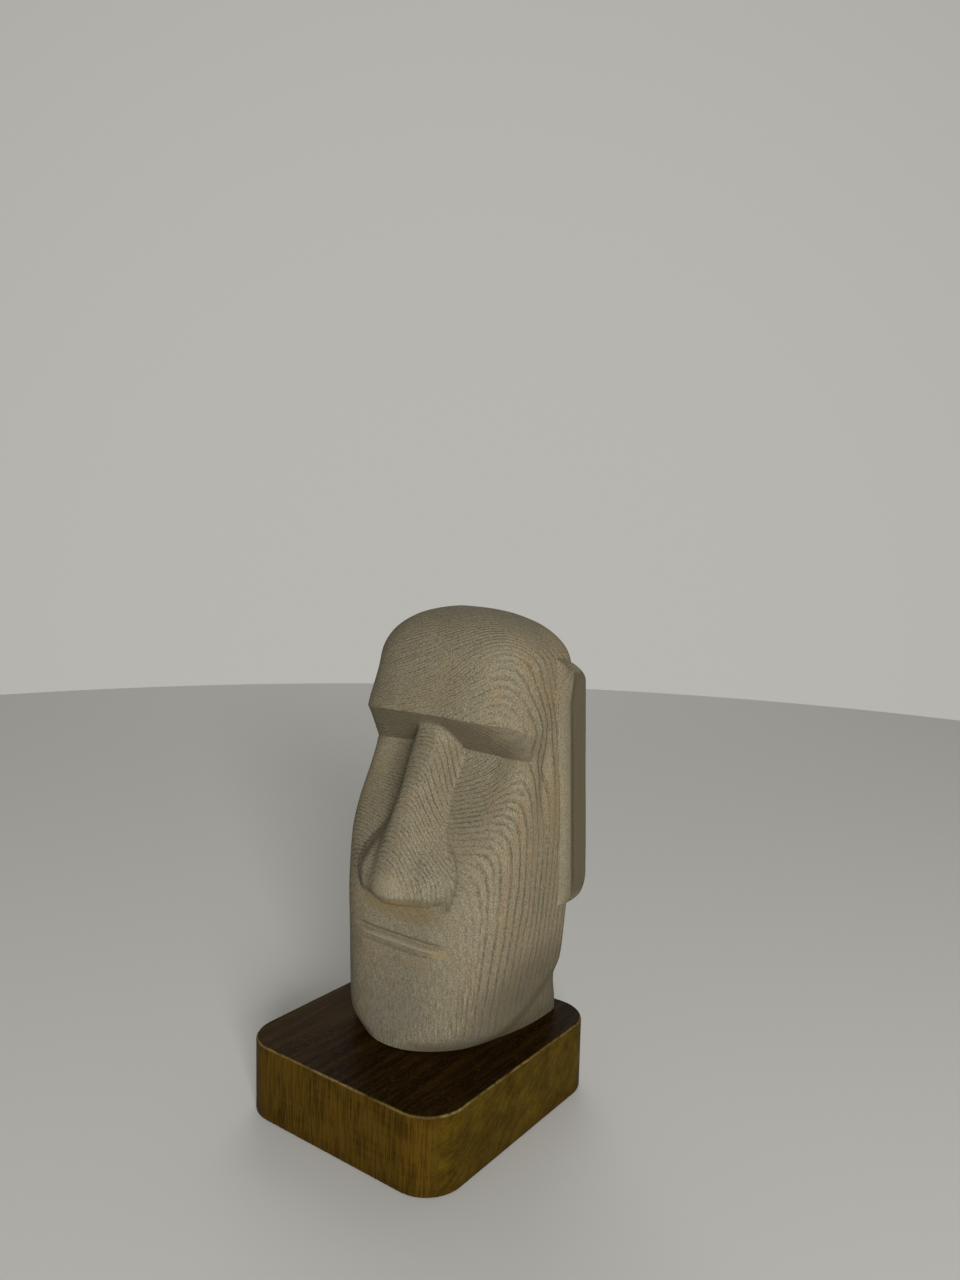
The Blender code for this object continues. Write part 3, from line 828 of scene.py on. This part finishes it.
class MoaiSizes(bpy.types.PropertyGroup):
    """Sizes of the finish that a user may change."""

    ring_spacing: bpy.props.FloatProperty(
        name="Ring spacing", description="Distance between growth rings", default=0.00090, unit="LENGTH")
    ring_depth: bpy.props.FloatProperty(
        name="Ring depth", description="How far the rings stand up", default=0.00016, unit="LENGTH")
    tool_marks: bpy.props.FloatProperty(
        name="Tool marks", description="Unevenness of the carved surface", default=0.00016, unit="LENGTH")
    rim_radius: bpy.props.FloatProperty(
        name="Rim radius", description="Rounding of the plinth's rims", default=0.0008, unit="LENGTH")
    rim_wear: bpy.props.FloatProperty(
        name="Rim wear", description="How far the plinth's upper rim is worn", default=0.00022, unit="LENGTH")
    grain_depth: bpy.props.FloatProperty(
        name="Grain depth", description="Relief of the plinth's grain", default=0.00005, unit="LENGTH")
    floor_size: bpy.props.FloatProperty(
        name="Floor size", description="Radius of the floor", default=0.9, unit="LENGTH")


def colour_property(name, description, default):
    """A colour that a user may change."""
    return bpy.props.FloatVectorProperty(
        name=name, description=description, subtype="COLOR", size=3, min=0.0, max=1.0, default=default)


class MoaiColours(bpy.types.PropertyGroup):
    """Colours of the finishes that a user may change."""

    stain_ridge: colour_property("Stain, ridge", "Grey stain on the raised rings", (0.206, 0.178, 0.113))
    stain_groove: colour_property("Stain, groove", "Grey stain between the rings", (0.094, 0.078, 0.045))
    # Dark stain in the pores and grooves; the same colour also stands for painted shade under the brow, the
    # nose and the jaw, in the mouth's slit and by the nose's wings.
    stain_dark_and_shade: colour_property("Stain, dark", "Stain that gathers in the pores", (0.085, 0.070, 0.042))
    stain_warm: colour_property("Stain, warm", "Tan patches in the stain", (0.235, 0.168, 0.088))
    stain_cool: colour_property("Stain, cool", "Blue-grey patches in the stain", (0.165, 0.155, 0.132))
    stain_bright: colour_property("Stain, bright", "Pale specks and strips", (0.330, 0.295, 0.210))
    stain_worn: colour_property(
        "Stain, worn", "Wood that shows where the stain is rubbed off", (0.330, 0.215, 0.070))
    varnish_top: colour_property("Varnish, top", "Dark varnish on the plinth's top", (0.014, 0.0062, 0.0011))
    varnish_streak: colour_property("Varnish, streak", "Reddish streaks on the top", (0.036, 0.0165, 0.0030))
    varnish_deep: colour_property(
        "Varnish, deep", "Darkest grain of the plinth's sides", (0.032, 0.0165, 0.0018))
    varnish_side: colour_property(
        "Varnish, side", "Olive brown of the plinth's front", (0.077, 0.042, 0.0045))
    varnish_gold: colour_property(
        "Varnish, gold", "Golden olive of the plinth's sides", (0.105, 0.066, 0.0055))
    varnish_worn: colour_property("Varnish, worn", "Bare wood along the upper rim", (0.290, 0.215, 0.080))
    floor: colour_property("Floor", "Plain pale floor", (0.80, 0.79, 0.75))


class MOAI_OT_carve_head(bpy.types.Operator):
    """Carve the head: a sphere's skin, each vertex moved to its place on the head."""

    bl_idname = "moai.carve_head"
    bl_label = "Carve the head"

    def execute(self, context):
        sizes, colours = context.scene.moai_sizes, context.scene.moai_colours
        rings = (ROW_COUNT - 1) * ROW_SPLIT + 1
        columns = HALF_COLUMN_COUNT * COLUMN_SPLIT
        bm = bmesh.new()
        bmesh.ops.create_uvsphere(bm, u_segments=2 * columns, v_segments=rings, radius=1.0)
        widest_line = HEAD_HIGH.y - max(station[3] for station in STATIONS) * HUNDREDTH
        for vertex in bm.verts:
            ring = round(acos(clamp(vertex.co.z, -1.0, 1.0)) / pi * rings)
            column = round(abs(atan2(vertex.co.x, -vertex.co.y)) / pi * columns) / COLUMN_SPLIT
            side = 1.0 if vertex.co.x > 0.0 else -1.0
            x, y, z = head_point(column, row_level(max(ROW_COUNT - 1 - ring / ROW_SPLIT, 0.0)), side)
            if ring == rings - 1:
                shrink = 1.0 - BASE_ROUNDING / STATIONS[0][1]
                x, y = x * shrink, y * shrink
            if ring == rings:
                x, y = 0.0, 0.0
            vertex.co = (side * x * HUNDREDTH, y * HUNDREDTH + widest_line, z * HUNDREDTH + HEAD_LOW.z)
        bm.normal_update()
        marks = [(vertex, vertex.normal * tool_mark(vertex.co, sizes)) for vertex in bm.verts]
        for vertex, shift in marks:
            height = vertex.co.z - HEAD_LOW.z
            vertex.co += shift * clamp(height / (MARKS_START_LEVEL * HUNDREDTH))
        material = stained_ring_wood(sizes, colours)
        finished_object("carved_head", bm, material, "moai_head")
        return {"FINISHED"}


class MOAI_OT_plane_plinth(bpy.types.Operator):
    """Plane the plinth board: rounded corners, softened rims, the upper one worn unevenly."""

    bl_idname = "moai.plane_plinth"
    bl_label = "Plane the plinth"

    def execute(self, context):
        sizes, colours = context.scene.moai_sizes, context.scene.moai_colours
        size = PLINTH_HIGH - PLINTH_LOW
        bm = bmesh.new()
        bmesh.ops.create_cube(bm, size=1.0)
        bmesh.ops.scale(bm, vec=size, verts=bm.verts)
        bmesh.ops.translate(bm, vec=(PLINTH_LOW + PLINTH_HIGH) / 2.0, verts=bm.verts)
        uprights = [edge for edge in bm.edges if abs(edge.verts[0].co.z - edge.verts[1].co.z) > size.z / 2.0]
        bmesh.ops.bevel(bm, geom=uprights, offset=PLINTH_CORNER_RADIUS, offset_type="OFFSET",
                        segments=PLINTH_CORNER_STEPS, profile=0.5, affect="EDGES", material=-1)
        rims = [edge for edge in bm.edges
                if abs(edge.verts[0].co.z - edge.verts[1].co.z) < size.z / 2.0
                and any(abs(face.normal.z) > 0.9 for face in edge.link_faces)]
        bmesh.ops.bevel(bm, geom=rims, offset=sizes.rim_radius, offset_type="OFFSET",
                        segments=PLINTH_RIM_STEPS, profile=0.5, affect="EDGES", material=-1)
        flats = [face for face in bm.faces if abs(face.normal.z) > 0.999]
        bmesh.ops.inset_individual(bm, faces=flats, thickness=PLINTH_INSET)
        for axis in range(2):
            for k in range(1, PLINTH_CUTS):
                place, way = Vector(), Vector()
                place[axis] = PLINTH_LOW[axis] + size[axis] * k / PLINTH_CUTS
                way[axis] = 1.0
                bmesh.ops.bisect_plane(bm, geom=bm.verts[:] + bm.edges[:] + bm.faces[:], dist=1e-6,
                                       plane_co=place, plane_no=way)
        for height in (sizes.rim_radius + PLINTH_INSET, size.z - sizes.rim_radius - PLINTH_INSET):
            bmesh.ops.bisect_plane(bm, geom=bm.verts[:] + bm.edges[:] + bm.faces[:], dist=1e-6,
                                   plane_co=(0.0, 0.0, PLINTH_LOW.z + height), plane_no=(0.0, 0.0, 1.0))
        bm.normal_update()
        for vertex in bm.verts:
            rise = (vertex.co.z - (PLINTH_HIGH.z - sizes.rim_radius)) / sizes.rim_radius
            tilt = 4.0 * vertex.normal.z * (1.0 - vertex.normal.z)
            if rise > -0.1 and tilt > 0.05:
                wear = 0.5 + 0.5 * noise.noise(vertex.co / RIM_DENT) + 0.4 * noise.noise(vertex.co / RIM_CHIP)
                vertex.co -= vertex.normal * sizes.rim_wear * tilt * clamp(wear)
        finished_object("plinth_board", bm, varnished_board(sizes, colours), "plinth")
        return {"FINISHED"}


class MOAI_OT_set_stage(bpy.types.Operator):
    """Set the pale floor, the soft lights and the camera."""

    bl_idname = "moai.set_stage"
    bl_label = "Set the stage"

    def execute(self, context):
        sizes, colours = context.scene.moai_sizes, context.scene.moai_colours
        bm = bmesh.new()
        bmesh.ops.create_circle(bm, cap_ends=True, segments=96, radius=sizes.floor_size)
        mesh = bpy.data.meshes.new("floor")
        bm.to_mesh(mesh)
        bm.free()
        mesh.materials.append(pale_floor(colours))
        floor = bpy.data.objects.new("floor", mesh)
        floor.location.z = PLINTH_LOW.z - FLOOR_GAP
        context.scene.collection.objects.link(floor)

        world = bpy.data.worlds.new("studio")
        world.use_nodes = True
        nodes, links = world.node_tree.nodes, world.node_tree.links
        background = nodes["Background"]
        background.inputs["Color"].default_value = (*SKY_COLOUR, 1.0)
        direction = nodes.new("ShaderNodeTexCoord")
        away = nodes.new("ShaderNodeVectorMath")
        away.operation = "DOT_PRODUCT"
        away.inputs[1].default_value = CAMERA_FORWARD
        glow = nodes.new("ShaderNodeMapRange")
        glow.interpolation_type = "SMOOTHSTEP"
        glow.inputs["To Min"].default_value = SKY_AROUND
        glow.inputs["To Max"].default_value = SKY_BEHIND
        links.new(direction.outputs["Generated"], away.inputs[0])
        links.new(away.outputs["Value"], glow.inputs["Value"])
        links.new(glow.outputs["Result"], background.inputs["Strength"])
        context.scene.world = world
        context.scene.view_settings.view_transform = "Standard"
        target = Vector((0.0, 0.0, HEAD_HIGH.z / 2.0))
        for name, place, size, power in LIGHTS:
            light = bpy.data.lights.new(name, "AREA")
            light.shape = "SQUARE"
            light.size = size
            light.energy = power
            lamp = bpy.data.objects.new(name, light)
            lamp.location = place
            lamp.rotation_euler = (target - Vector(place)).to_track_quat("-Z", "Y").to_euler()
            lamp.visible_camera = False
            context.scene.collection.objects.link(lamp)

        camera = bpy.data.cameras.new("camera")
        camera.sensor_width = 36.0
        camera.sensor_fit = "AUTO"
        camera.lens = CAMERA_LENS
        forward = Vector(CAMERA_FORWARD).normalized()
        right = Vector(CAMERA_RIGHT)
        right = (right - forward * right.dot(forward)).normalized()
        viewer = bpy.data.objects.new("camera", camera)
        viewer.matrix_world = Matrix.Translation(CAMERA_PLACE) @ Matrix(
            (right, right.cross(forward), -forward)).transposed().to_4x4()
        context.scene.collection.objects.link(viewer)
        context.scene.camera = viewer
        return {"FINISHED"}


class MOAI_PT_workshop(bpy.types.Panel):
    """The statue's operators and what they read."""

    bl_label = "Moai statue"
    bl_idname = "MOAI_PT_workshop"
    bl_space_type = "VIEW_3D"
    bl_region_type = "UI"
    bl_category = "Moai"

    def draw(self, context):
        for operator in (MOAI_OT_carve_head, MOAI_OT_plane_plinth, MOAI_OT_set_stage):
            self.layout.operator(operator.bl_idname)
        for group in (context.scene.moai_sizes, context.scene.moai_colours):
            for name in group.__annotations__:
                self.layout.prop(group, name)


CLASSES = (MoaiSizes, MoaiColours, MOAI_OT_carve_head, MOAI_OT_plane_plinth, MOAI_OT_set_stage,
           MOAI_PT_workshop)


def register():
    """Register the classes and hang the settings on the scene."""
    for kind in CLASSES:
        bpy.utils.register_class(kind)
    bpy.types.Scene.moai_sizes = bpy.props.PointerProperty(type=MoaiSizes)
    bpy.types.Scene.moai_colours = bpy.props.PointerProperty(type=MoaiColours)


def unregister():
    """Take the settings and the classes away again."""
    del bpy.types.Scene.moai_colours
    del bpy.types.Scene.moai_sizes
    for kind in reversed(CLASSES):
        bpy.utils.unregister_class(kind)


def main():
    """Build the statue and its stage."""
    register()
    bpy.ops.moai.carve_head()
    bpy.ops.moai.plane_plinth()
    bpy.ops.moai.set_stage()


if __name__ == "__main__":
    main()
